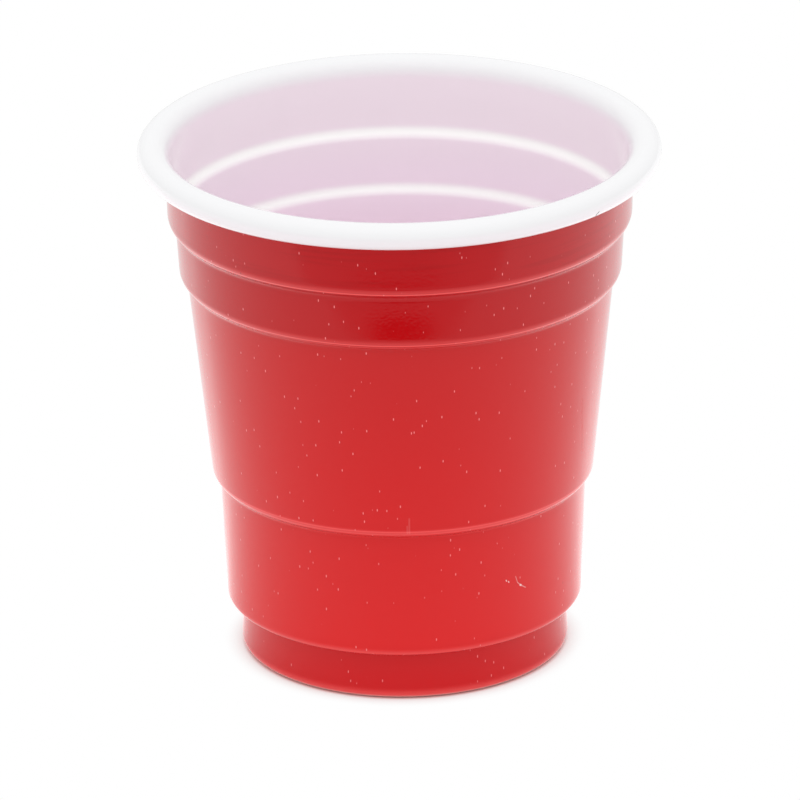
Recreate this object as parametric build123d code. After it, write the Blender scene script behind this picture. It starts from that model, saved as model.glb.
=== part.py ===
"""Stackable plastic shot cup, drawn from one sheet.

The cup is one solid of revolution about +Z. Its wall is a single sheet that
follows one path: out over the raised base panel, down to the standing ring,
round the base corner, up five bands that step outwards, and over the brim into
a hollow rolled rim. The sheet is even, but for a thicker ring at each ledge,
where the inner face steps in further up than the outer face. All lengths are in
millimetres. The origin is the centre of the standing ring, on the surface that
the cup rests on.
"""

import math
import os
from typing import NamedTuple

from build123d import *

# The sheet
WALL = 0.45
BASE_BEND = 0.35  # radius on the hollow side of the bends at the base
STEEPEST_BEND = 82.0  # the most that a bend turns before a ledge runs straight, in degrees

# The inner face at the ledges
LEDGE_RISE = 0.35  # how far above the outer face's ledge the inner face's ledge starts
INNER_BEND_RADIUS = 0.75  # of both bends

# The rolled rim
RIM_RADIUS = 25.4
FLARE_RADIUS = 1.25  # on the hollow side, where the wall turns out over the brim
CROWN_FLAT = 0.15  # between the flare and the roll
ROLL_RADIUS = 0.8  # on the hollow side of the roll
LIP_GAP = 0.2  # between the cut edge of the lip and the wall

# The bands of the wall: how high each is, how far it narrows towards its lower
# corner, how far the sheet steps in below that corner, and the radius on the
# hollow side of the step's two bends
BRIM_HEIGHT = 7.8
BRIM_TAPER = 0.2
BRIM_LEDGE = 0.75
BRIM_BEND = 0.75
UPPER_HEIGHT = 5.6
UPPER_TAPER = 0.3
UPPER_LEDGE = 0.75
UPPER_BEND = 0.75
MAIN_HEIGHT = 20.65
MAIN_TAPER = 2.1
MAIN_LEDGE = 0.75
MAIN_BEND = 0.55
LOWER_HEIGHT = 13.15
LOWER_TAPER = 0.45
LOWER_LEDGE = 1.6
LOWER_BEND = 0.35
FOOT_HEIGHT = 5.1
FOOT_FLARE = 0.25  # the foot band widens towards the base instead

# The base
RING_WIDTH = 2.6
PANEL_LIFT = 1.0


class Band(NamedTuple):
    """One band of the wall and the ledge below it."""

    height: float
    taper: float
    ledge: float
    bend: float


BANDS = (
    Band(BRIM_HEIGHT, BRIM_TAPER, BRIM_LEDGE, BRIM_BEND),
    Band(UPPER_HEIGHT, UPPER_TAPER, UPPER_LEDGE, UPPER_BEND),
    Band(MAIN_HEIGHT, MAIN_TAPER, MAIN_LEDGE, MAIN_BEND),
    Band(LOWER_HEIGHT, LOWER_TAPER, LOWER_LEDGE, LOWER_BEND),
)
CUP_HEIGHT = FOOT_HEIGHT + sum(band.height for band in BANDS)


def s_bend_length(depth, first_radius, second_radius):
    """Return how far along the sheet an S-bend runs that shifts it by depth.

    Two arcs with these radii, each turning by the angle a, shift the sheet by
    (first_radius + second_radius)(1 - cos a). A deeper shift turns by
    STEEPEST_BEND and has a straight stretch between its arcs.
    """
    radii = first_radius + second_radius
    turn = math.radians(STEEPEST_BEND)
    if depth < radii * (1 - math.cos(turn)):
        turn = math.acos(1 - depth / radii)
    return depth / math.tan(turn)


def side_points():
    """Return the corners of the outer face, from the crown of the rim down."""
    radius = RIM_RADIUS - WALL - ROLL_RADIUS - CROWN_FLAT - FLARE_RADIUS
    height = CUP_HEIGHT
    points = [(radius, height - WALL)]
    for band in BANDS:
        radius -= band.taper
        height -= band.height
        points.append((radius, height))
        radius -= band.ledge
        drop = s_bend_length(band.ledge, band.bend, band.bend + WALL)
        points.append((radius, height - drop))
    points.append((radius + FOOT_FLARE, 0))
    return points


def slid(point, other, rise):
    """Return a point moved up by rise on the line through it and another."""
    share = rise / (other[1] - point[1])
    return (point[0] + share * (other[0] - point[0]), point[1] + rise)


def with_raised_ledges(points):
    """Return the side's corners with each ledge moved up the walls beside it.

    The upper corner goes up by LEDGE_RISE, and the lower one by as much more or
    less as the bends of the inner face need for their own radii.
    """
    raised = list(points)
    for index, band in enumerate(BANDS):
        first = 2 * index
        above, corner, step, below = points[first : first + 4]
        outer_drop = s_bend_length(band.ledge, band.bend, band.bend + WALL)
        inner_drop = s_bend_length(band.ledge, INNER_BEND_RADIUS, INNER_BEND_RADIUS)
        raised[first + 1] = slid(corner, above, LEDGE_RISE)
        raised[first + 2] = slid(step, below, LEDGE_RISE + outer_drop - inner_drop)
    return raised


def base_points(foot_radius):
    """Return the corners of the underside, from the standing ring to the axis."""
    ring_inner = foot_radius - RING_WIDTH
    panel_edge = ring_inner - s_bend_length(PANEL_LIFT, BASE_BEND, BASE_BEND + WALL)
    return [(ring_inner, 0), (panel_edge, PANEL_LIFT), (0, PANEL_LIFT)]


def shifted(points):
    """Return the corners of the same path, WALL to its left.

    Between stretches with the normals n1 and n2, the shifted stretches meet at
    WALL (n1 + n2) / (1 + n1.n2) from the corner.
    """
    stretches = [(end - start).normalized() for start, end in zip(points, points[1:])]
    normals = [Vector(-along.Y, along.X) for along in stretches]
    sides = zip([normals[0]] + normals, normals + [normals[-1]])
    return [
        corner + (into + out) * (WALL / (1 + into.dot(out)))
        for corner, (into, out) in zip(points, sides)
    ]


def bend_radii(points, hollow_radii):
    """Return the radii of the outer face and of the inner face at each bend.

    The sheet lies to the left of the path, so the outer face has the full side
    of a left turn and the hollow side of a right turn.
    """
    outer = []
    inner = []
    for before, corner, after, hollow in zip(points, points[1:], points[2:], hollow_radii):
        turns_left = (corner - before).cross(after - corner).Z > 0
        outer.append(hollow + WALL if turns_left else hollow)
        inner.append(hollow if turns_left else hollow + WALL)
    return outer, inner


def make_cup():
    """Revolve the section of the sheet about the axis."""
    side = side_points()
    base = base_points(side[-1][0])
    brim_radius, crown_height = side[0]
    roll_start = (RIM_RADIUS - WALL - ROLL_RADIUS, crown_height)
    outer_path, inner_path = (
        [Vector(*point) for point in (corners + base)[::-1] + [roll_start]]
        for corners in (side, with_raised_ledges(side))
    )

    hollow_radii = [BASE_BEND] * len(base)
    for band in reversed(BANDS):
        hollow_radii += [band.bend, band.bend]
    hollow_radii.append(FLARE_RADIUS)
    outer_radii, inner_radii = bend_radii(outer_path, hollow_radii)
    inner_radii[len(base) : -1] = [INNER_BEND_RADIUS] * (2 * len(BANDS))
    outer_lip = Vector(brim_radius + LIP_GAP, crown_height - 2 * ROLL_RADIUS)
    inner_lip = outer_lip - Vector(0, WALL)

    with BuildSketch(Plane.XZ) as section:
        with BuildLine():
            outer = FilletPolyline(*outer_path, radius=outer_radii)
            outer_roll = JernArc(outer @ 1, outer % 1, ROLL_RADIUS, -180)
            inner = FilletPolyline(*shifted(inner_path), radius=inner_radii)
            inner_roll = JernArc(inner @ 1, inner % 1, ROLL_RADIUS + WALL, -180)
            Polyline(outer_roll @ 1, outer_lip, inner_lip, inner_roll @ 1)
            Line(inner @ 0, outer @ 0)
        make_face()
    return revolve(section.sketch, Axis.Z)


if __name__ == "__main__":
    os.makedirs("parts", exist_ok=True)
    export_step(make_cup(), "parts/cup.step")
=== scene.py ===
"""Plastic shot cup, red outside and white inside.

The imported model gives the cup's height and its rim. The cup is drawn from one
sheet, so its surface is one profile, both faces of the sheet joined at the axis
and at the cut lip, carried round Z. Lengths are in metres.
"""

from __future__ import annotations

import logging
import math
from dataclasses import dataclass, field
from enum import IntEnum
from typing import Any

import bpy
import numpy as np
from mathutils import Matrix, Vector

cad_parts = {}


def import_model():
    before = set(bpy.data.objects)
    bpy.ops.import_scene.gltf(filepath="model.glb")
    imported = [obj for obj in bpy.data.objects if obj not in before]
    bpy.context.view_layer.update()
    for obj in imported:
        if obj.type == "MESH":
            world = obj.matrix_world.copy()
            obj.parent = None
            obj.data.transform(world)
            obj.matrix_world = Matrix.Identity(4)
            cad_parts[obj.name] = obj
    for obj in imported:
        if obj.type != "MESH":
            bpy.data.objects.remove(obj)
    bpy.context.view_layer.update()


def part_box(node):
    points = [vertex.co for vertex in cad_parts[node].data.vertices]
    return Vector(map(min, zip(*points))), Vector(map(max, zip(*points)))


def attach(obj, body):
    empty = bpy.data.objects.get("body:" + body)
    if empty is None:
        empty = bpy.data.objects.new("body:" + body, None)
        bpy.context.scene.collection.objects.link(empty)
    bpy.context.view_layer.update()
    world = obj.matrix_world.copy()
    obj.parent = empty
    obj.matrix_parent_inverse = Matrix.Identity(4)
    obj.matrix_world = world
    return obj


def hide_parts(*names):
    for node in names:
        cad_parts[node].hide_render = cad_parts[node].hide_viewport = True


LOG = logging.getLogger("shot_cup")
MM = 0.001
NODE = "cup"
BODY = "root"

# Points of a profile that are nearer than this are one point
SAME_POINT = 1e-8

Color = tuple[float, float, float, float]
Sockets = bpy.types.NodeOutputs


class Face(IntEnum):
    """The two faces of the sheet, in the order of the cup's materials."""

    RED = 0
    WHITE = 1


@dataclass(frozen=True)
class Band:
    """One band of the wall and the ledge below it.

    Args:
        height: From the band's upper corner to its lower one.
        taper: How far the band narrows towards its lower corner.
        ledge: How far the sheet steps in below that corner.
        bend: Radius on the hollow side of the step's two bends.
    """

    height: float
    taper: float
    ledge: float
    bend: float


@dataclass(frozen=True)
class Sheet:
    """The drawn sheet.

    Args:
        wall: Thickness.
        steepest_bend: The most that a bend turns, in radians.
        ledge_rise: How far above the red face's ledge the white face's starts.
        white_bend: Radius of both bends of a ledge on the white face.
    """

    wall: float = 0.45 * MM
    steepest_bend: float = math.radians(82.0)
    ledge_rise: float = 0.35 * MM
    white_bend: float = 0.75 * MM

    def s_bend_length(self, depth: float, bend: float, face: Face) -> float:
        """Return how far an S-bend runs along one face of the sheet.

        Two arcs of radius r1 and r2 that turn by the angle a shift the sheet by
        (r1 + r2)(1 - cos a). A deeper shift runs straight between its arcs.

        Args:
            depth: How far the bend shifts the sheet sideways.
            bend: Radius on the hollow side of the red face's bends.
            face: The face of the sheet.

        Returns:
            The distance along the sheet between the two corners.
        """
        radii = 2 * bend + self.wall
        if face is Face.WHITE:
            radii = 2 * self.white_bend
        turn = self.steepest_bend
        if depth < radii * (1 - math.cos(turn)):
            turn = math.acos(1 - depth / radii)
        return depth / math.tan(turn)


@dataclass(frozen=True)
class RolledRim:
    """The hollow roll at the brim.

    Args:
        flare_radius: Radius on the hollow side, where the wall turns out.
        crown_flat: Between the flare and the roll.
        radius: Radius on the hollow side of the roll.
        lip_gap: Between the cut edge of the lip and the wall.
    """

    flare_radius: float = 1.25 * MM
    crown_flat: float = 0.15 * MM
    radius: float = 0.8 * MM
    lip_gap: float = 0.2 * MM


@dataclass(frozen=True)
class Base:
    """The base and the foot band.

    Args:
        flare: How far the foot band widens towards the base.
        ring_width: From the base corner to the inside of the standing ring.
        panel_lift: How high the panel inside the ring is raised.
        bend: Radius on the hollow side of the base's bends.
    """

    flare: float = 0.25 * MM
    ring_width: float = 2.6 * MM
    panel_lift: float = 1.0 * MM
    bend: float = 0.35 * MM


@dataclass(frozen=True)
class Outline:
    """A smooth profile in the (radius, height) plane.

    Args:
        points: One row per point, from the axis outwards.
    """

    points: np.ndarray

    @staticmethod
    def rounded(corners: np.ndarray, radii: np.ndarray, arc: int, run: int) -> Outline:
        """Round the corners of a path.

        At a corner that turns by the angle a, an arc of radius r starts
        r tan(a / 2) before the corner. Its points are centre + r (cos, sin).
        Straight stretches get points that crowd towards their ends by a cosine,
        so that the shading of an arc doesn't spread over its neighbours.

        Args:
            corners: The path's ends and corners, one row each.
            radii: One radius for each corner between the ends.
            arc: How many points an arc has.
            run: How many points a straight stretch has between its ends.

        Returns:
            The rounded profile, from the first end to the last.
        """
        along = np.diff(corners, axis=0)
        along /= np.linalg.norm(along, axis=1, keepdims=True)
        into, out = along[:-1], along[1:]
        turn = np.arctan2(into[:, 0] * out[:, 1] - into[:, 1] * out[:, 0], (into * out).sum(1))
        side = np.sign(turn)
        start = corners[1:-1] - into * (radii * np.tan(np.abs(turn) / 2))[:, None]
        normal = np.stack([-into[:, 1], into[:, 0]], axis=1) * side[:, None]
        centre = start + normal * radii[:, None]

        first = np.arctan2(-normal[:, 1], -normal[:, 0])
        angle = first[:, None] + turn[:, None] * np.linspace(0, 1, arc)
        circle = np.stack([np.cos(angle), np.sin(angle)], axis=2)
        arcs = centre[:, None, :] + radii[:, None, None] * circle

        ends = np.concatenate([arcs[:, -1], corners[-1:]])
        begins = np.concatenate([corners[:1], ends[:-1]])
        stops = np.concatenate([arcs[:, 0], corners[-1:]])
        share = (1 - np.cos(np.linspace(0, math.pi, run + 2)[1:-1])) / 2
        runs = begins[:, None] + (stops - begins)[:, None] * share[:, None]
        bends = [np.concatenate(pair) for pair in zip(runs, arcs)]
        points = np.concatenate([corners[:1], *bends, runs[-1], corners[-1:]])
        apart = np.linalg.norm(np.diff(points, axis=0), axis=1) > SAME_POINT
        return Outline(points[np.concatenate([[True], apart])])


@dataclass
class ShotCup:
    """The cup, as one surface of revolution.

    Args:
        rim_radius: Outer radius of the rim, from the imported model.
        height: Height of the cup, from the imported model.
        sheet: The drawn sheet.
        rim: The rolled rim.
        bands: The bands of the wall, from the brim down, without the foot band.
        base: The base and the foot band.
        segments: How many steps go round the cup.
        arc: How many points a bend has.
        run: How many points a straight stretch has.
        sharp_angle: From which angle on an edge is shaded sharp, in radians.
    """

    rim_radius: float
    height: float
    sheet: Sheet = field(default_factory=Sheet)
    rim: RolledRim = field(default_factory=RolledRim)
    bands: tuple[Band, ...] = (
        Band(7.8 * MM, 0.2 * MM, 0.75 * MM, 0.75 * MM),
        Band(5.6 * MM, 0.3 * MM, 0.75 * MM, 0.75 * MM),
        Band(20.65 * MM, 2.1 * MM, 0.75 * MM, 0.55 * MM),
        Band(13.15 * MM, 0.45 * MM, 1.6 * MM, 0.35 * MM),
    )
    base: Base = field(default_factory=Base)
    segments: int = 256
    arc: int = 7
    run: int = 6
    sharp_angle: float = math.radians(50)

    def side(self, face: Face) -> np.ndarray:
        """Return the corners of the wall for one face, from the foot to the crown.

        The white face's ledges lie further up, each corner on the line of the
        wall beside it, and apart by what their own bends need.

        Args:
            face: The face whose ledges are meant.

        Returns:
            The corners of the wall, before the shift by the sheet's thickness.
        """
        rim = self.rim
        radius = self.rim_radius - self.sheet.wall - rim.radius - rim.crown_flat - rim.flare_radius
        level = self.height
        rise = self.sheet.ledge_rise if face is Face.WHITE else 0.0
        corners = [(radius, level - self.sheet.wall)]
        rises = [0.0]
        for band in self.bands:
            radius -= band.taper
            level -= band.height
            corners.append((radius, level))
            radius -= band.ledge
            drop = self.sheet.s_bend_length(band.ledge, band.bend, Face.RED)
            corners.append((radius, level - drop))
            rises += [rise, rise + drop - self.sheet.s_bend_length(band.ledge, band.bend, face)]
        corners.append((radius + self.base.flare, 0.0))
        rises.append(0.0)

        path, lift = np.array(corners), np.array(rises)
        slopes = np.diff(path[:, 0]) / np.diff(path[:, 1])
        path += np.stack([np.repeat(slopes[::2], 2) * lift, lift], axis=1)
        return path[::-1]

    def corners(self, face: Face) -> np.ndarray:
        """Return the corners of one face's path, from the axis to the lip.

        Args:
            face: The face whose ledges are meant.

        Returns:
            The corners, before the shift by the sheet's thickness.
        """
        side = self.side(face)
        foot, crown = side[0, 0], side[-1, 1]
        lift = self.base.panel_lift
        ring = foot - self.base.ring_width
        panel = ring - self.sheet.s_bend_length(lift, self.base.bend, Face.RED)
        outer = self.rim_radius - self.sheet.wall
        tuck = crown - 2 * self.rim.radius
        lip = side[-1, 0] + self.rim.lip_gap
        under = [(0.0, lift), (panel, lift), (ring, 0.0)]
        roll = [(outer, crown), (outer, tuck), (lip, tuck)]
        return np.concatenate([under, side, roll])

    def shifted(self, corners: np.ndarray) -> np.ndarray:
        """Return a path's corners moved by one wall to the path's left.

        Between stretches with the normals n1 and n2, the shifted stretches meet
        at wall (n1 + n2) / (1 + n1.n2) from the corner.

        Args:
            corners: The corners of the path.

        Returns:
            The corners of the shifted path, in the same order.
        """
        along = np.diff(corners, axis=0)
        along /= np.linalg.norm(along, axis=1, keepdims=True)
        normals = np.stack([-along[:, 1], along[:, 0]], axis=1)
        into = np.concatenate([normals[:1], normals])
        out = np.concatenate([normals, normals[-1:]])
        spread = 1 + (into * out).sum(1, keepdims=True)
        return corners + (into + out) * self.sheet.wall / spread

    def radii(self, corners: np.ndarray, face: Face) -> np.ndarray:
        """Return the radius of one face at each corner.

        The sheet lies to the left of the path, so the red face has the full
        side of a left turn and the hollow side of a right turn.

        Args:
            corners: The corners of the red face.
            face: The face that the radii are for.

        Returns:
            One radius for each corner between the ends.
        """
        along = np.diff(corners, axis=0)
        into, out = along[:-1], along[1:]
        left = into[:, 0] * out[:, 1] - into[:, 1] * out[:, 0] > 0
        ledges = np.repeat([band.bend for band in reversed(self.bands)], 2)
        roll = (self.rim.flare_radius, self.rim.radius, self.rim.radius)
        hollow = np.concatenate([np.full(3, self.base.bend), ledges, roll])
        radii = np.where(left == (face is Face.RED), hollow + self.sheet.wall, hollow)
        if face is Face.WHITE:
            radii[3:-3] = self.sheet.white_bend
        return radii

    def profile(self) -> tuple[np.ndarray, int]:
        """Return the closed profile and how many of its points are red.

        The red face runs from the axis to the lip, and the white face back.

        Returns:
            The points, a row of radius and height each, and the count of red ones.
        """
        red_corners = self.corners(Face.RED)
        white_corners = self.shifted(self.corners(Face.WHITE))
        red = Outline.rounded(red_corners, self.radii(red_corners, Face.RED), self.arc, self.run)
        white = Outline.rounded(white_corners, self.radii(red_corners, Face.WHITE), self.arc, self.run)
        points = np.concatenate([red.points, white.points[::-1]])
        return points, len(red.points)

    def build(self, finishes: list[bpy.types.Material]) -> bpy.types.Object:
        """Carry the profile round Z and dress its two faces.

        A profile point (r, h) goes to (r cos t, r sin t, h) at the angle t. The
        first and last points lie on the axis and close the surface there.

        Args:
            finishes: The materials, in the order of Face.

        Returns:
            The cup's object.
        """
        profile, red_count = self.profile()
        turn = np.linspace(0, 2 * math.pi, self.segments, endpoint=False)
        radius = profile[1:-1, 0:1]
        height = np.broadcast_to(profile[1:-1, 1:2], (len(profile) - 2, self.segments))
        rings = np.stack([radius * np.cos(turn), radius * np.sin(turn), height], axis=2)
        poles = [[0.0, 0.0, profile[0, 1]], [0.0, 0.0, profile[-1, 1]]]
        points = np.concatenate([rings.reshape(-1, 3), poles])

        ring_count = len(profile) - 2
        here = np.arange(self.segments)
        after = (here + 1) % self.segments
        low = np.arange(ring_count - 1)[:, None] * self.segments
        high = low + self.segments
        quads = np.stack([low + here, low + after, high + after, high + here], axis=2)
        last = (ring_count - 1) * self.segments
        under = np.stack([np.full_like(here, len(points) - 2), after, here], axis=1)
        floor = np.stack([last + here, last + after, np.full_like(here, len(points) - 1)], axis=1)
        faces = quads.reshape(-1, 4).tolist() + under.tolist() + floor.tolist()

        mesh = bpy.data.meshes.new(NODE)
        mesh.from_pydata(points, [], faces)
        bands = np.repeat(np.arange(1, ring_count), self.segments)
        bands_red = bands < red_count - 1
        under_red, floor_red = np.ones(self.segments, bool), np.zeros(self.segments, bool)
        red = np.concatenate([bands_red, under_red, floor_red])
        mesh.polygons.foreach_set("material_index", np.where(red, Face.RED, Face.WHITE).astype(np.int32))
        mesh.polygons.foreach_set("use_smooth", np.ones(len(faces), bool))
        mesh.set_sharp_from_angle(angle=self.sharp_angle)
        for finish in finishes:
            mesh.materials.append(finish)
        mesh.update()

        piece = bpy.data.objects.new("cup_sheet", mesh)
        bpy.context.scene.collection.objects.link(piece)
        LOG.info("%s: %d profile points, %d faces", piece.name, len(profile), len(faces))
        return piece


class Graph:
    """A node tree with short calls to add and link nodes."""

    def __init__(self, tree: bpy.types.NodeTree) -> None:
        """Take over a tree and empty it.

        Args:
            tree: The node tree of a material, a world or a group.
        """
        self.tree = tree
        self.tree.nodes.clear()

    def add(self, kind: str, links: dict[str | int, Any] | None = None, **settings: Any) -> bpy.types.Node:
        """Add a node.

        Args:
            kind: The node's type, without its ShaderNode prefix, or a full name.
            links: For each input, the socket that feeds it or its value.
            settings: Attributes to set on the node.

        Returns:
            The new node.
        """
        name = kind if kind.startswith("Node") else f"ShaderNode{kind}"
        node = self.tree.nodes.new(name)
        for key, value in settings.items():
            setattr(node, key, value)
        for key, value in (links or {}).items():
            if isinstance(value, bpy.types.NodeSocket):
                self.tree.links.new(value, node.inputs[key])
            else:
                node.inputs[key].default_value = value
        return node

    def math(self, operation: str, *values: Any) -> bpy.types.NodeSocket:
        """Return a Math node's output, fed by sockets or numbers."""
        return self.add("Math", dict(enumerate(values)), operation=operation).outputs[0]

    def ease(self, value: Any, start: float, end: float) -> bpy.types.NodeSocket:
        """Return a smooth step of a value, from 0 at start to 1 at end."""
        links = {"Value": value, "From Min": start, "From Max": end}
        return self.add("MapRange", links, interpolation_type="SMOOTHSTEP").outputs[0]

    def blend(self, share: Any, first: Any, second: Any) -> bpy.types.NodeSocket:
        """Mix two colours.

        Args:
            share: How much of the second colour shows.
            first: The first colour.
            second: The second colour.

        Returns:
            The mixed colour's socket.
        """
        node = self.add("Mix", data_type="RGBA")
        for index, value in ((0, share), (6, first), (7, second)):
            if isinstance(value, bpy.types.NodeSocket):
                self.tree.links.new(value, node.inputs[index])
            else:
                node.inputs[index].default_value = value
        return node.outputs[2]

    def ramp(self, value: Any, stops: tuple[tuple[float, Any], ...]) -> bpy.types.NodeSocket:
        """Turn a value into a colour that changes evenly from stop to stop.

        Args:
            value: The value.
            stops: Values, from the lowest up, and their colours.

        Returns:
            The colour's socket.
        """
        low, high = stops[0][0], stops[-1][0]
        share = self.add("MapRange", {"Value": value, "From Min": low, "From Max": high}).outputs[0]
        node = self.add("ValToRGB", {0: share})
        elements = node.color_ramp.elements
        while len(elements) < len(stops):
            elements.new(0.5)
        for element, (place, color) in zip(elements, stops):
            element.position = (place - low) / (high - low)
            element.color = color
        return node.outputs[0]

    def group(self, tree: bpy.types.NodeTree, **links: Any) -> bpy.types.Node:
        """Place a node group.

        Args:
            tree: The group's tree.
            links: For each input, with its name in small letters and underscores, the
                socket that feeds it or its value.

        Returns:
            The group's node.
        """
        node = self.add("Group", node_tree=tree)
        for key, value in links.items():
            socket = node.inputs[key.replace("_", " ").title()]
            if isinstance(value, bpy.types.NodeSocket):
                self.tree.links.new(value, socket)
            else:
                socket.default_value = value
        return node


def new_group(
    name: str, inputs: dict[str, float | None], outputs: list[str]
) -> tuple[bpy.types.NodeTree, Graph]:
    """Make a shader node group with named sockets.

    Args:
        name: The group's name.
        inputs: Each input's name and its value, or None for a vector.
        outputs: The names of the outputs, each a float.

    Returns:
        The group's tree and a graph to fill it.
    """
    tree = bpy.data.node_groups.new(name, "ShaderNodeTree")
    graph = Graph(tree)
    for key, value in inputs.items():
        kind = "NodeSocketVector" if value is None else "NodeSocketFloat"
        socket = tree.interface.new_socket(key, in_out="INPUT", socket_type=kind)
        if value is not None:
            socket.default_value = value
    for key in outputs:
        tree.interface.new_socket(key, in_out="OUTPUT", socket_type="NodeSocketFloat")
    return tree, graph


class SurfaceGroups:
    """The node groups that the red and the white finish share."""

    def __init__(self) -> None:
        """Build each group once."""
        self.whereabouts = self._whereabouts()
        self.orange_peel = self._orange_peel()
        self.draw_lines = self._draw_lines()
        self.specks = self._specks()
        self.stroke = self._stroke()

    @staticmethod
    def _whereabouts() -> bpy.types.NodeTree:
        """Return a group that unrolls the cup.

        Turn is the angle about Z in radians, nought at the front and growing
        towards +X. Height and Radius are in metres.

        Returns:
            The group's tree.
        """
        tree, g = new_group("whereabouts", {"Place": None}, ["Turn", "Height", "Radius"])
        parts = g.add("SeparateXYZ", {0: g.add("NodeGroupInput").outputs[0]}).outputs
        turn = g.math("ARCTAN2", parts[0], g.math("MULTIPLY", parts[1], -1.0))
        flat = g.add("CombineXYZ", {0: parts[0], 1: parts[1]}).outputs[0]
        radius = g.add("VectorMath", {0: flat}, operation="LENGTH").outputs["Value"]
        g.add("NodeGroupOutput", {"Turn": turn, "Height": parts[2], "Radius": radius})
        return tree

    @staticmethod
    def _orange_peel() -> bpy.types.NodeTree:
        """Return a group for the fine ripple of a drawn plastic sheet.

        Two sizes of smooth noise are added, the larger one for slow waves.

        Returns:
            The group's tree.
        """
        inputs = {"Place": None, "Ripple Size": 0.45 * MM, "Wave Size": 5.0 * MM, "Wave Share": 1.0}
        tree, g = new_group("orange_peel", inputs, ["Height"])
        given = g.add("NodeGroupInput").outputs

        def noise(size: str, detail: float) -> bpy.types.NodeSocket:
            """Return smooth noise.

            Args:
                size: The name of the input that says how large it is.
                detail: How many finer layers it has.

            Returns:
                The noise's socket.
            """
            scale = g.math("DIVIDE", 1.0, given[size])
            links = {"Vector": given["Place"], "Scale": scale, "Detail": detail}
            return g.add("TexNoise", links).outputs[0]

        waves = g.math("MULTIPLY", noise("Wave Size", 1.0), given["Wave Share"])
        height = g.math("ADD", noise("Ripple Size", 0.0), waves)
        g.add("NodeGroupOutput", {"Height": height})
        return tree

    @staticmethod
    def _draw_lines() -> bpy.types.NodeTree:
        """Return a group for faint level lines, left where the sheet slid in the mould.

        The noise is read in space squeezed level, so it changes quickly along Z
        and slowly round the cup.

        Returns:
            The group's tree.
        """
        inputs = {"Place": None, "Spacing": 0.5 * MM, "Stretch": 24.0}
        tree, g = new_group("draw_lines", inputs, ["Height"])
        given = g.add("NodeGroupInput").outputs
        shape = g.add("CombineXYZ", {0: given["Stretch"], 1: given["Stretch"], 2: 1.0}).outputs[0]
        squeezed = g.add("VectorMath", {0: given["Place"], 1: shape}, operation="DIVIDE").outputs[0]
        scale = g.math("DIVIDE", 1.0, given["Spacing"])
        lines = g.add("TexNoise", {"Vector": squeezed, "Scale": scale, "Detail": 1.0})
        g.add("NodeGroupOutput", {"Height": lines.outputs[0]})
        return tree

    @staticmethod
    def _specks() -> bpy.types.NodeTree:
        """Return a group for small upright specks scattered over a wall.

        Each speck is where the wall cuts a small ball round a Voronoi point, in
        space squeezed along Z, so specks differ in size and stand upright. A
        random number of each cell drops a share of them.

        Returns:
            The group's tree.
        """
        inputs = {"Place": None, "Spacing": 0.66 * MM, "Radius": 0.10, "Stretch": 2.8, "Share": 0.9}
        tree, g = new_group("specks", inputs, ["Mask"])
        given = g.add("NodeGroupInput").outputs
        shape = g.add("CombineXYZ", {0: 1.0, 1: 1.0, 2: given["Stretch"]}).outputs[0]
        squeezed = g.add("VectorMath", {0: given["Place"], 1: shape}, operation="DIVIDE").outputs[0]
        scale = g.math("DIVIDE", 1.0, given["Spacing"])
        cells = g.add("TexVoronoi", {"Vector": squeezed, "Scale": scale}, feature="F1").outputs
        near = g.math("SUBTRACT", 1.0, g.math("DIVIDE", cells["Distance"], given["Radius"]))
        chance = g.add("SeparateColor", {0: cells["Color"]}).outputs[0]
        kept = g.math("LESS_THAN", chance, given["Share"])
        g.add("NodeGroupOutput", {"Mask": g.math("MULTIPLY", g.ease(near, 0.0, 0.5), kept)})
        return tree

    @staticmethod
    def _stroke() -> bpy.types.NodeTree:
        """Return a group for a short straight mark on the wall.

        The wall is unrolled at the mark's own radius. The mask falls off with
        the distance to the segment between the mark's two ends.

        Returns:
            The group's tree.
        """
        inputs = {
            "Turn": 0.0, "Height": 0.0, "Radius": 0.02,
            "Start Turn": 0.0, "Start Height": 0.0, "End Turn": 0.0, "End Height": 0.0, "Width": 0.1 * MM,
        }
        tree, g = new_group("stroke", inputs, ["Mask"])
        given = g.add("NodeGroupInput").outputs

        def unrolled(turn: str, height: str) -> bpy.types.NodeSocket:
            """Return the place of a turn and a height on the flat wall."""
            along = g.math("MULTIPLY", given[turn], given["Radius"])
            return g.add("CombineXYZ", {0: along, 1: given[height]}).outputs[0]

        here, start, end = (unrolled(f"{name}Turn", f"{name}Height") for name in ("", "Start ", "End "))
        offset = g.add("VectorMath", {0: here, 1: start}, operation="SUBTRACT").outputs[0]
        span = g.add("VectorMath", {0: end, 1: start}, operation="SUBTRACT").outputs[0]
        reach = g.add("VectorMath", {0: offset, 1: span}, operation="DOT_PRODUCT").outputs["Value"]
        length = g.add("VectorMath", {0: span, 1: span}, operation="DOT_PRODUCT").outputs["Value"]
        share = g.add("Clamp", {0: g.math("DIVIDE", reach, length)}).outputs[0]
        nearest = g.add("VectorMath", {0: span, "Scale": share}, operation="SCALE").outputs[0]
        gap = g.add("VectorMath", {0: offset, 1: nearest}, operation="DISTANCE").outputs["Value"]
        near = g.math("SUBTRACT", 1.0, g.math("DIVIDE", gap, given["Width"]))
        g.add("NodeGroupOutput", {"Mask": g.ease(near, 0.0, 1.0)})
        return tree


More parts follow.
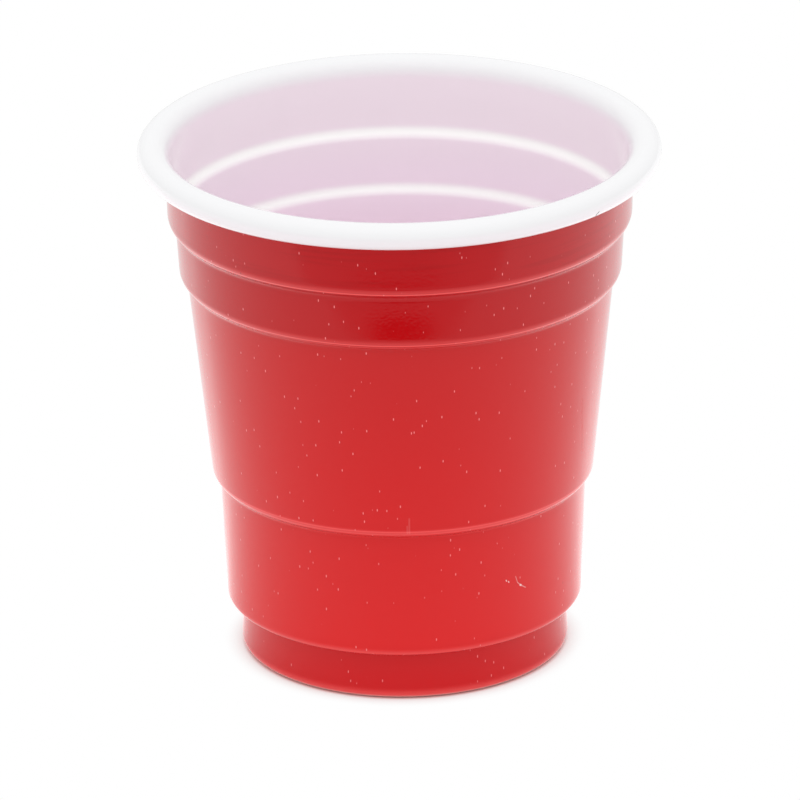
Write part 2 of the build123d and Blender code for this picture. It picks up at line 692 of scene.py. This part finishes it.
@dataclass(frozen=True)
class Mark:
    """A straight mark on the wall.

    Args:
        start: Its first end: degrees from the front towards +X, and height.
        end: Its other end.
        width: Half its width.
        radius: The wall's radius there.
        strength: How strong it is in its middle.
    """

    start: tuple[float, float]
    end: tuple[float, float]
    width: float
    radius: float
    strength: float = 1.0

    def mask(self, g: Graph, groups: SurfaceGroups, spot: Sockets) -> bpy.types.NodeSocket:
        """Return the mark's mask in a material.

        Args:
            g: The material's graph.
            groups: The shared node groups.
            spot: The outputs of the whereabouts group.

        Returns:
            The mask's socket.
        """
        node = g.group(
            groups.stroke,
            turn=spot["Turn"],
            height=spot["Height"],
            radius=self.radius,
            start_turn=math.radians(self.start[0]),
            start_height=self.start[1],
            end_turn=math.radians(self.end[0]),
            end_height=self.end[1],
            width=self.width,
        )
        return g.math("MULTIPLY", node.outputs[0], self.strength)


@dataclass(frozen=True)
class LevelLine:
    """A soft line round the cup.

    Args:
        height: Where it is strongest.
        above: How far it fades upwards.
        below: How far it fades downwards.
        strength: How strong it is there.
    """

    height: float
    above: float
    below: float
    strength: float = 1.0

    def mask(self, g: Graph, height: bpy.types.NodeSocket) -> bpy.types.NodeSocket:
        """Return the line's mask in a material.

        Args:
            g: The material's graph.
            height: The height of the place.

        Returns:
            The mask's socket.
        """
        over = g.ease(height, self.height + self.above, self.height)
        under = g.ease(height, self.height - self.below, self.height)
        return g.math("MULTIPLY", g.math("MULTIPLY", over, under), self.strength)


def strongest(g: Graph, masks: list[bpy.types.NodeSocket]) -> bpy.types.NodeSocket | float:
    """Return the largest of several masks at each place.

    Args:
        g: The material's graph.
        masks: The masks.

    Returns:
        The largest one's socket.
    """
    most: bpy.types.NodeSocket | float = 0.0
    for mask in masks:
        most = g.math("MAXIMUM", most, mask)
    return most


@dataclass(frozen=True)
class RedFace:
    """The glossy red outer face.

    Args:
        painted_light_tones: Base colour at some heights, darker on the upper bands and
        lighter further down: painted shade under the rim and painted light from the floor.
        edge_thin_and_highlight_color: Of the red where a step's corner stretches it thin,
            made paler as a painted highlight of the floor's reflection.
        thin_edges_and_highlights: The pale lines at the corners: thin red and painted
            highlights, the lowest one painted light along the base corner.
        foot_painted_light_color: Of the painted light along the base corner.
        foot_painted_light: The painted pale line at that corner.
        under_base: Radii between which the pale lines start, from the underside outwards.
        roughness: Of the skin.
        ior: Of the plastic.
        speck_color: Of the dust specks.
        pit_color: Of the few dark pits.
        pit_spacing: How far apart the places for a pit are.
        pit_radius: Of a pit, as a share of that.
        pit_share: How many of these places have one.
        brim: Heights between which the brim band's painted streaks and draw lines start.
        streak_reflection_color: Of the faint dark streaks there, a painted reflection.
        painted_reflection_streaks: Heights of the draw lines at which a painted dark streak starts
            and is full.
        streak_relief: How much of the draw lines is added to the ripple there.
        ripple_size: Of the skin's fine ripple.
        wave_share: How much of its slow waves is added.
        relief: How deep the ripple is.
        scratch_color: Of the scratch, the nicks beside it and two ticks at a ledge.
        scratch: Their stretches.
        scuff: A dull stretch near the right side, whose strength adds to the roughness.
    """

    # Painted shade and light: darker red on the upper bands under the rim, lighter lower down where the
    # floor lights the wall
    painted_light_tones: tuple[tuple[float, Color], ...] = (
        (5.0 * MM, (0.67, 0.007, 0.010, 1.0)),
        (5.5 * MM, (0.76, 0.014, 0.015, 1.0)),
        (13.0 * MM, (0.71, 0.012, 0.013, 1.0)),
        (24.0 * MM, (0.66, 0.009, 0.010, 1.0)),
        (31.0 * MM, (0.62, 0.009, 0.010, 1.0)),
        (38.0 * MM, (0.58, 0.009, 0.010, 1.0)),
        (39.0 * MM, (0.51, 0.003, 0.005, 1.0)),
        (45.0 * MM, (0.50, 0.004, 0.007, 1.0)),
    )
    # Partly painted highlights: the pale lines at the step corners stand in for the floor's reflection as
    # well as thin red; the line at 0.30 mm is painted light along the base corner
    edge_thin_and_highlight_color: Color = (0.94, 0.092, 0.092, 1.0)
    thin_edges_and_highlights: tuple[LevelLine, ...] = (
        LevelLine(44.65 * MM, 0.45 * MM, 0.45 * MM, 0.35),
        LevelLine(44.46 * MM, 0.15 * MM, 0.15 * MM),
        LevelLine(39.05 * MM, 0.45 * MM, 0.70 * MM, 0.35),
        LevelLine(38.88 * MM, 0.15 * MM, 0.15 * MM),
        LevelLine(38.60 * MM, 0.12 * MM, 0.12 * MM, 0.8),
        LevelLine(18.56 * MM, 0.35 * MM, 0.90 * MM, 0.6),
        LevelLine(18.64 * MM, 0.12 * MM, 0.12 * MM),
        LevelLine(18.34 * MM, 0.12 * MM, 0.12 * MM),
        LevelLine(5.32 * MM, 0.60 * MM, 0.20 * MM, 0.8),
        LevelLine(0.30 * MM, 0.90 * MM, 0.50 * MM),
    )
    # Painted light: a pale line along the base corner, for the floor's bright reflection and the light
    # under the bend
    foot_painted_light_color: Color = (1.0, 0.50, 0.47, 1.0)
    foot_painted_light: LevelLine = LevelLine(0.05 * MM, 0.42 * MM, 0.10 * MM)
    under_base: tuple[float, float] = (15.05 * MM, 15.45 * MM)
    roughness: float = 0.06
    ior: float = 1.46
    speck_color: Color = (0.92, 0.26, 0.27, 1.0)
    pit_color: Color = (0.16, 0.002, 0.003, 1.0)
    pit_spacing: float = 1.7 * MM
    pit_radius: float = 0.05
    pit_share: float = 0.15
    brim: tuple[float, float] = (44.6 * MM, 45.4 * MM)
    # Painted reflection: faint dark streaks on the brim band
    streak_reflection_color: Color = (0.46, 0.0035, 0.006, 1.0)
    painted_reflection_streaks: tuple[float, float] = (0.50, 0.72)
    streak_relief: float = 0.6
    ripple_size: float = 0.25 * MM
    wave_share: float = 2.0
    relief: float = 0.003 * MM
    scratch_color: Color = (0.98, 0.75, 0.73, 1.0)
    scratch: tuple[Mark, ...] = (
        Mark((37.5, 11.97 * MM), (38.3, 11.28 * MM), 0.07 * MM, 17.65 * MM, 0.35),
        Mark((38.3, 11.28 * MM), (39.6, 10.89 * MM), 0.07 * MM, 17.65 * MM, 0.45),
        Mark((39.4, 10.93 * MM), (39.8, 10.85 * MM), 0.15 * MM, 17.65 * MM),
        Mark((39.6, 10.89 * MM), (41.7, 10.46 * MM), 0.07 * MM, 17.65 * MM, 0.45),
        Mark((33.8, 11.86 * MM), (34.0, 11.74 * MM), 0.08 * MM, 17.65 * MM),
        Mark((34.7, 11.67 * MM), (34.9, 11.55 * MM), 0.08 * MM, 17.65 * MM),
        Mark((1.0, 19.30 * MM), (1.0, 18.50 * MM), 0.14 * MM, 18.75 * MM, 0.06),
        Mark((1.6, 20.10 * MM), (1.6, 18.50 * MM), 0.14 * MM, 18.75 * MM, 0.07),
    )
    scuff: Mark = Mark((61.9, 28.35 * MM), (65.5, 22.6 * MM), 0.35 * MM, 19.6 * MM, 0.25)

    def material(self, groups: SurfaceGroups) -> bpy.types.Material:
        """Return the red finish.

        Args:
            groups: The shared node groups.

        Returns:
            The material.
        """
        made = bpy.data.materials.new("red_face")
        made.use_nodes = True
        g = Graph(made.node_tree)
        place = g.add("TexCoord").outputs["Object"]
        spot = g.group(groups.whereabouts, place=place).outputs
        lines = g.group(groups.draw_lines, place=place).outputs[0]
        brim = g.ease(spot["Height"], *self.brim)

        # Base colour by height, with painted shade on the upper bands and painted light lower down
        wall = g.ramp(spot["Height"], self.painted_light_tones)
        # Painted dark reflection streaks on the brim band
        painted_reflection_streaks = g.math("MULTIPLY", g.ease(lines, *self.painted_reflection_streaks), brim)
        wall = g.blend(painted_reflection_streaks, wall, self.streak_reflection_color)
        wall = self._with_corners(g, wall, spot)
        wall = self._with_dust(g, wall, groups, place)
        scratch = strongest(g, [mark.mask(g, groups, spot) for mark in self.scratch])
        wall = g.blend(scratch, wall, self.scratch_color)

        peel = g.group(
            groups.orange_peel, place=place, ripple_size=self.ripple_size, wave_share=self.wave_share
        ).outputs[0]
        drawn = g.math("MULTIPLY", g.math("MULTIPLY", lines, brim), self.streak_relief)
        relief = g.math("ADD", peel, drawn)
        bump = g.add("Bump", {"Height": relief, "Strength": 1.0, "Distance": self.relief})
        roughness = g.math("ADD", self.scuff.mask(g, groups, spot), self.roughness)
        skin = g.add(
            "BsdfPrincipled",
            {"Base Color": wall, "Roughness": roughness, "IOR": self.ior, "Normal": bump.outputs[0]},
        )
        g.add("OutputMaterial", {"Surface": skin.outputs[0]})
        return made

    def _with_corners(self, g: Graph, wall: bpy.types.NodeSocket, spot: Sockets) -> bpy.types.NodeSocket:
        """Return the wall's colour with the pale lines at the corners, partly painted highlights, and the
        painted light along the base corner.

        Args:
            g: The material's graph.
            wall: The colour so far.
            spot: The outputs of the whereabouts group.

        Returns:
            The new colour.
        """
        side = g.ease(spot["Radius"], *self.under_base)
        # Pale lines at the corners, partly painted highlights
        thin_edges_and_highlights = strongest(g, [line.mask(g, spot["Height"]) for line in self.thin_edges_and_highlights])
        wall = g.blend(g.math("MULTIPLY", thin_edges_and_highlights, side), wall, self.edge_thin_and_highlight_color)
        # Painted light along the base corner
        foot = self.foot_painted_light.mask(g, spot["Height"])
        return g.blend(g.math("MULTIPLY", foot, side), wall, self.foot_painted_light_color)

    def _with_dust(
        self, g: Graph, wall: bpy.types.NodeSocket, groups: SurfaceGroups, place: bpy.types.NodeSocket
    ) -> bpy.types.NodeSocket:
        """Return the wall's colour with its dust specks and pits.

        Args:
            g: The material's graph.
            wall: The colour so far.
            groups: The shared node groups.
            place: The Object coordinates.

        Returns:
            The new colour.
        """
        specks = g.group(groups.specks, place=place).outputs[0]
        pits = g.group(
            groups.specks,
            place=place,
            spacing=self.pit_spacing,
            radius=self.pit_radius,
            share=self.pit_share,
        ).outputs[0]
        return g.blend(pits, g.blend(specks, wall, self.speck_color), self.pit_color)


@dataclass(frozen=True)
class WhiteFace:
    """The white inner face, which shows on the rolled rim too.

    Args:
        color: Base colour on the rim, where the sheet lies double.
        painted_light_tones: Base colour at some heights inside, pink where the red shows through,
        and lighter than the rim as painted light that comes in through the sheet.
        ledge_highlight_color: Of the thicker rings at the ledges, where no red shows through,
            whitened as a painted highlight of the light from above.
        ledges: These rings, partly painted highlights.
        crown: Heights between which the inside's colour gives way to the rim's.
        roll: Radii between which it does so again on the roll's outer side.
        roll_share: How much of the rim's colour shows there.
        roughness: Of the skin.
        ior: Of the plastic.
        wave_share: How much of the skin's slow waves is added to its ripple.
        relief: How deep the ripple is.
        relief_strength: How much of it the shading shows.
        fibre_color: Of the fibre on the rim.
        fibre: The fibre's stretches.
        rim_side: From which radius on the fibre shows, so that it lies on the rim's outside.
    """

    color: Color = (0.86, 0.86, 0.87, 1.0)
    # Partly painted light: pink where the red shows through, and lighter than the rim for the light that
    # comes in through the sheet
    painted_light_tones: tuple[tuple[float, Color], ...] = (
        (36.0 * MM, (1.0, 0.85, 0.945, 1.0)),
        (41.0 * MM, (1.0, 0.89, 0.97, 1.0)),
        (46.5 * MM, (0.98, 0.895, 0.945, 1.0)),
    )
    # Partly painted highlights: the ledge rings inside are whitened for the light from above that they
    # catch
    ledge_highlight_color: Color = (1.0, 1.0, 0.98, 1.0)
    ledges: tuple[LevelLine, ...] = (
        LevelLine(45.00 * MM, 0.8 * MM, 0.8 * MM),
        LevelLine(39.35 * MM, 0.8 * MM, 0.8 * MM),
        LevelLine(19.00 * MM, 0.8 * MM, 0.8 * MM),
        LevelLine(5.90 * MM, 0.8 * MM, 0.8 * MM),
    )
    crown: tuple[float, float] = (50.2 * MM, 51.6 * MM)
    roll: tuple[float, float] = (24.1 * MM, 24.5 * MM)
    roll_share: float = 0.5
    roughness: float = 0.14
    ior: float = 1.46
    wave_share: float = 3.0
    relief: float = 0.004 * MM
    relief_strength: float = 0.4
    fibre_color: Color = (0.05, 0.04, 0.04, 1.0)
    fibre: tuple[Mark, ...] = (
        Mark((48.4, 50.56 * MM), (47.9, 50.37 * MM), 0.14 * MM, 25.2 * MM),
        Mark((47.9, 50.37 * MM), (48.3, 50.03 * MM), 0.16 * MM, 25.0 * MM),
    )
    rim_side: float = 24.5 * MM

    def material(self, groups: SurfaceGroups) -> bpy.types.Material:
        """Return the white finish.

        Args:
            groups: The shared node groups.

        Returns:
            The material.
        """
        made = bpy.data.materials.new("white_face")
        made.use_nodes = True
        g = Graph(made.node_tree)
        place = g.add("TexCoord").outputs["Object"]
        spot = g.group(groups.whereabouts, place=place).outputs
        # Inside colour by height, partly painted light that comes in through the sheet
        inside = g.ramp(spot["Height"], self.painted_light_tones)
        # Ledge rings inside, partly painted highlights
        ledges = strongest(g, [line.mask(g, spot["Height"]) for line in self.ledges])
        inside = g.blend(ledges, inside, self.ledge_highlight_color)
        crown = g.ease(spot["Height"], *self.crown)
        roll = g.math("MULTIPLY", g.ease(spot["Radius"], *self.roll), self.roll_share)
        wall = g.blend(strongest(g, [crown, roll]), inside, self.color)
        fibre = strongest(g, [mark.mask(g, groups, spot) for mark in self.fibre])
        outside = g.math("GREATER_THAN", spot["Radius"], self.rim_side)
        wall = g.blend(g.math("MULTIPLY", fibre, outside), wall, self.fibre_color)
        peel = g.group(groups.orange_peel, place=place, wave_share=self.wave_share).outputs[0]
        bump = g.add("Bump", {"Height": peel, "Strength": self.relief_strength, "Distance": self.relief})
        skin = g.add(
            "BsdfPrincipled",
            {"Base Color": wall, "Roughness": self.roughness, "IOR": self.ior, "Normal": bump.outputs[0]},
        )
        g.add("OutputMaterial", {"Surface": skin.outputs[0]})
        return made


@dataclass(frozen=True)
class Softbox:
    """A square lamp that faces the cup and isn't seen in reflections.

    Args:
        name: The lamp's name.
        place: Its centre.
        size: Its side.
        power: In watts.
    """

    name: str
    place: tuple[float, float, float]
    size: float
    power: float

    def build(self, target: Vector) -> None:
        """Add the lamp.

        Args:
            target: The point that it faces.
        """
        lamp = bpy.data.lights.new(self.name, "AREA")
        lamp.shape = "SQUARE"
        lamp.size = self.size
        lamp.energy = self.power
        holder = bpy.data.objects.new(self.name, lamp)
        holder.visible_glossy = False
        holder.location = self.place
        holder.rotation_euler = (target - holder.location).to_track_quat("-Z", "Y").to_euler()
        bpy.context.scene.collection.objects.link(holder)


@dataclass(frozen=True)
class DarkOval:
    """A dark patch in front of the cup, bent round it, which only its reflection shows.

    Args:
        distance: From the cup's axis to the patch's middle.
        half_angle: Half its width, in degrees about the axis.
        half_depth: Half its size away from the axis.
        strength: How dark it is in the middle.
        core: Up to which share of its half sizes it is that dark.
        fringe: At which share of its half sizes it has faded away.
    """

    distance: float
    half_angle: float
    half_depth: float
    strength: float
    core: float = 0.5
    fringe: float = 1.4

    def mask(self, g: Graph, spot: Sockets) -> bpy.types.NodeSocket:
        """Return the patch's mask in the floor's material.

        Args:
            g: The material's graph.
            spot: The outputs of the whereabouts group.

        Returns:
            The mask's socket.
        """
        across = g.math("DIVIDE", spot["Turn"], math.radians(self.half_angle))
        outward = g.math("SUBTRACT", spot["Radius"], self.distance)
        forward = g.math("DIVIDE", outward, self.half_depth)
        flat = g.add("CombineXYZ", {0: across, 1: forward}).outputs[0]
        gap = g.add("VectorMath", {0: flat}, operation="LENGTH").outputs["Value"]
        return g.math("MULTIPLY", g.ease(gap, self.fringe, self.core), self.strength)


@dataclass
class Studio:
    """A white floor, a white surround and a soft lamp overhead.

    Reflections see less light on the floor in front of the cup than beside and
    behind it.

    Args:
        floor_size: Side of the floor.
        floor_color: Of the floor's surface.
        contact_shade_color: Of the floor's surface as the camera sees it in the contact shadow,
        a painted darker shade with the cup's red light in it.
        near_tone: What reflections see of it in front of the cup.
        far_tone: What they see of it further in front.
        far_edge: Where along Y the floor has darkened to that.
        far_fade: Over what length it darkens.
        ovals: The dark patches in front.
        oval_color: What reflections see of them.
        glow: The glow that reflections see on the floor, from right in front of the cup,
            at -1, to right behind it, at 1.
        glow_strength: How bright its white is.
        contact: How far the contact shadow reaches.
        contact_samples: How many rays look for it.
        open_sky: Shares of open sky between which that shadow fades.
        surround: Light of the surround on the object.
        lamps: The soft lamps.
    """

    floor_size: float = 3.0
    floor_color: Color = (0.93, 0.93, 0.93, 1.0)
    # Painted shade: the floor near the cup as the camera sees it, darker and tinted with the cup's red
    # light
    contact_shade_color: Color = (0.80, 0.57, 0.56, 1.0)
    near_tone: Color = (0.61, 0.61, 0.61, 1.0)
    far_tone: Color = (0.38, 0.38, 0.38, 1.0)
    far_edge: float = -94 * MM
    far_fade: float = 12 * MM
    ovals: tuple[DarkOval, ...] = (
        DarkOval(97.6 * MM, 16.0, 3.6 * MM, 1.0),
        DarkOval(123.6 * MM, 24.0, 1.8 * MM, 1.0),
        DarkOval(130.0 * MM, 20.0, 0.7 * MM, 0.6),
    )
    oval_color: Color = (0.0, 0.0, 0.0, 1.0)
    glow: tuple[tuple[float, Color], ...] = (
        (-1.0, (0.0, 0.0, 0.0, 1.0)),
        (0.6, (1.0, 1.0, 1.0, 1.0)),
        (0.85, (0.60, 0.60, 0.60, 1.0)),
        (1.0, (0.20, 0.20, 0.20, 1.0)),
    )
    glow_strength: float = 1.02
    contact: float = 4 * MM
    contact_samples: int = 16
    open_sky: tuple[float, float] = (0.2, 0.8)
    surround: float = 1.15
    lamps: tuple[Softbox, ...] = (Softbox("top_softbox", (0.0, -0.12, 0.62), 0.5, 0.8),)

    def build(self, target: Vector, groups: SurfaceGroups) -> None:
        """Add the floor, the surround and the lamps.

        Args:
            target: Where the lamps face.
            groups: The shared node groups.
        """
        self._floor(groups)
        self._surround()
        for lamp in self.lamps:
            lamp.build(target)

    def _floor(self, groups: SurfaceGroups) -> None:
        """Add a flat floor that the camera sees as white outside the shadow.

        Args:
            groups: The shared node groups.
        """
        half = self.floor_size / 2
        mesh = bpy.data.meshes.new("floor")
        corners = [(-half, -half, 0), (half, -half, 0), (half, half, 0), (-half, half, 0)]
        mesh.from_pydata(corners, [], [(0, 1, 2, 3)])
        made = bpy.data.materials.new("floor_paper")
        made.use_nodes = True
        g = Graph(made.node_tree)
        place = g.add("TexCoord").outputs["Object"]
        spot = g.group(groups.whereabouts, place=place).outputs
        y = g.add("SeparateXYZ", {0: place}).outputs[1]
        ray = g.add("LightPath").outputs

        near = g.ease(y, self.far_edge, self.far_edge + self.far_fade)
        tone = g.blend(near, self.far_tone, self.near_tone)
        dark = strongest(g, [oval.mask(g, spot) for oval in self.ovals])
        tone = g.blend(dark, tone, self.oval_color)
        # The camera sees painted darker, redder shade on the floor in the contact shadow
        spread = g.blend(ray["Is Camera Ray"], self.floor_color, self.contact_shade_color)
        seen = g.blend(ray["Is Glossy Ray"], spread, tone)
        paper = g.add("BsdfDiffuse", {"Color": seen})

        outward = g.add("VectorMath", {0: place}, operation="NORMALIZE").outputs[0]
        behind = g.add("SeparateXYZ", {0: outward}).outputs[1]
        strength = g.math("MULTIPLY", ray["Is Glossy Ray"], self.glow_strength)
        mirrored = g.add("Emission", {"Color": g.ramp(behind, self.glow), "Strength": strength})
        lit = g.add("AddShader", {0: paper.outputs[0], 1: mirrored.outputs[0]})

        sky = g.add("AmbientOcclusion", {"Distance": self.contact}, samples=self.contact_samples)
        open_sky = g.ease(sky.outputs["AO"], *self.open_sky)
        clear = g.math("MULTIPLY", open_sky, ray["Is Camera Ray"])
        white = g.add("Emission", {"Strength": 1.0})
        both = g.add("MixShader", {0: clear, 1: lit.outputs[0], 2: white.outputs[0]})
        g.add("OutputMaterial", {"Surface": both.outputs[0]})
        mesh.materials.append(made)
        floor = bpy.data.objects.new("floor", mesh)
        bpy.context.scene.collection.objects.link(floor)

    def _surround(self) -> None:
        """Light the object evenly, and show white to the camera."""
        world = bpy.data.worlds.new("white_surround")
        world.use_nodes = True
        bpy.context.scene.world = world
        g = Graph(world.node_tree)
        ray = g.add("LightPath").outputs
        seen = {"Value": ray["Is Camera Ray"], "To Min": self.surround, "To Max": 1.0}
        sky = g.add("Background", {"Strength": g.add("MapRange", seen).outputs[0]})
        g.add("OutputWorld", {"Surface": sky.outputs[0]})


@dataclass(frozen=True)
class PhotoCamera:
    """The photograph's view.

    Args:
        target: The point at the middle of the picture.
        distance: From the camera to the target.
        elevation: Above the horizontal, in degrees.
        roll: Turn about the line of sight, in degrees.
        lens: Focal length, in millimetres.
        sensor: Width of the sensor, in millimetres.
        reach: How far the camera sees, in metres.
    """

    target: tuple[float, float, float] = (-0.22 * MM, 0.0, 24.95 * MM)
    distance: float = 879.1 * MM
    elevation: float = 21.625
    roll: float = -0.72
    lens: float = 404.4
    sensor: float = 36.0
    reach: float = 10.0

    def build(self) -> None:
        """Add the camera and make it the scene's."""
        data = bpy.data.cameras.new("photo_view")
        data.lens = self.lens
        data.sensor_width = self.sensor
        data.clip_end = self.reach
        camera = bpy.data.objects.new("photo_view", data)
        tilt = Matrix.Rotation(math.radians(90 - self.elevation), 4, "X")
        place = Matrix.Translation(Vector(self.target)) @ tilt @ Matrix.Translation((0, 0, self.distance))
        camera.matrix_world = place @ Matrix.Rotation(math.radians(self.roll), 4, "Z")
        bpy.context.scene.collection.objects.link(camera)
        bpy.context.scene.camera = camera


def main() -> None:
    """Build the cup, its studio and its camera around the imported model."""
    logging.basicConfig(level=logging.INFO, format="%(name)s %(message)s")
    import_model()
    low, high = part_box(NODE)

    groups = SurfaceGroups()
    finishes = [RedFace().material(groups), WhiteFace().material(groups)]
    cup = ShotCup(rim_radius=(high[0] - low[0]) / 2, height=high[2] - low[2])
    piece = cup.build(finishes)
    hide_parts(NODE)
    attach(piece, BODY)

    Studio().build(Vector((0, 0, cup.height / 2)), groups)
    PhotoCamera().build()
    bpy.context.scene.view_settings.view_transform = "Standard"


if __name__ == "__main__":
    main()
